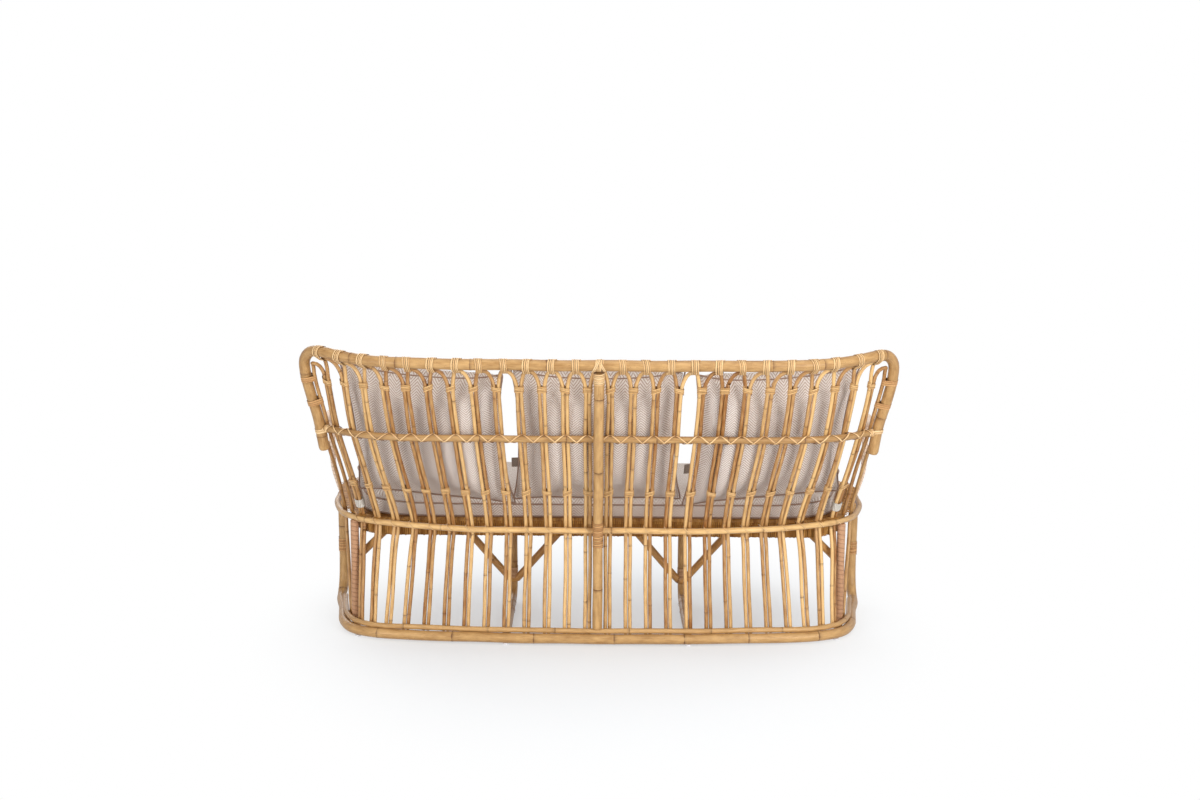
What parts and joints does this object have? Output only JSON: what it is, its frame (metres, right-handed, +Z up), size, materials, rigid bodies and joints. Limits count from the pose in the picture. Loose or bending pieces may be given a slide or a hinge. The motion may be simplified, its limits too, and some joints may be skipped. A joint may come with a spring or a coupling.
{
  "type": "rattan garden sofa",
  "caption": "Basket shaped rattan sofa: thick bent poles, a fence of thin arched canes, a woven seat, a long seat cushion and loose back cushions",
  "frame": {"origin": "middle of the footprint, on the floor", "axes": "+X across the sofa, +Y from the front to the back, +Z up"},
  "size_m": [1.818, 0.753, 0.934],
  "materials": {
    "pole": "smooth peeled rattan, satin varnish",
    "cane": "smooth thin rattan, satin varnish",
    "wrapped_pole": "rattan wrapped with a spiral of pinkish peel",
    "woven_peel": "flat peel strands laid side by side",
    "fabric": "pale beige twill",
    "glide": "plain white plastic"
  },
  "bodies": {
    "root": {"arch_cane_01": "cane", "arch_cane_02": "cane", "arch_cane_03": "cane", "arch_cane_04": "cane", "arch_cane_05": "cane", "arch_cane_06": "cane", "arch_cane_07": "cane", "arch_cane_08": "cane", "arch_cane_09": "cane", "arch_cane_10": "cane", "arch_cane_11": "cane", "arch_cane_12": "cane", "arch_cane_13": "cane", "arch_cane_14": "cane", "arch_cane_15": "cane", "arch_cane_16": "cane", "arch_cane_17": "cane", "arch_cane_18": "cane", "arch_cane_19": "cane", "arch_cane_20": "cane", "arch_cane_21": "cane", "arch_cane_22": "cane", "arch_cane_23": "cane", "arch_cane_24": "cane", "arch_cane_25": "cane", "arch_cane_26": "cane", "arch_cane_27": "cane", "arm_left": "pole", "arm_post_left": "cane", "arm_post_right": "cane", "arm_right": "pole", "back_cushion_left": "fabric", "back_cushion_middle": "fabric", "back_cushion_right": "fabric", "centre_post": "pole", "corner_brace_left": "pole", "corner_brace_right": "pole", "corner_leg_left": "wrapped_pole", "corner_leg_right": "wrapped_pole", "end_cane_left": "cane", "end_cane_right": "cane", "floor_pole": "pole", "front_brace_left": "pole", "front_brace_right": "pole", "front_leg_left": "pole", "front_leg_right": "pole", "glide_front_left": "glide", "glide_front_right": "glide", "glide_rear_inner_left": "glide", "glide_rear_inner_right": "glide", "glide_rear_outer_left": "glide", "glide_rear_outer_right": "glide", "mid_rail": "pole", "seat_cushion": "fabric", "seat_front_pole": "pole", "seat_rail": "pole", "seat_rear_pole": "pole", "seat_weave": "woven_peel", "toe_rail": "pole", "top_rail": "pole"}
  },
  "joints": []
}
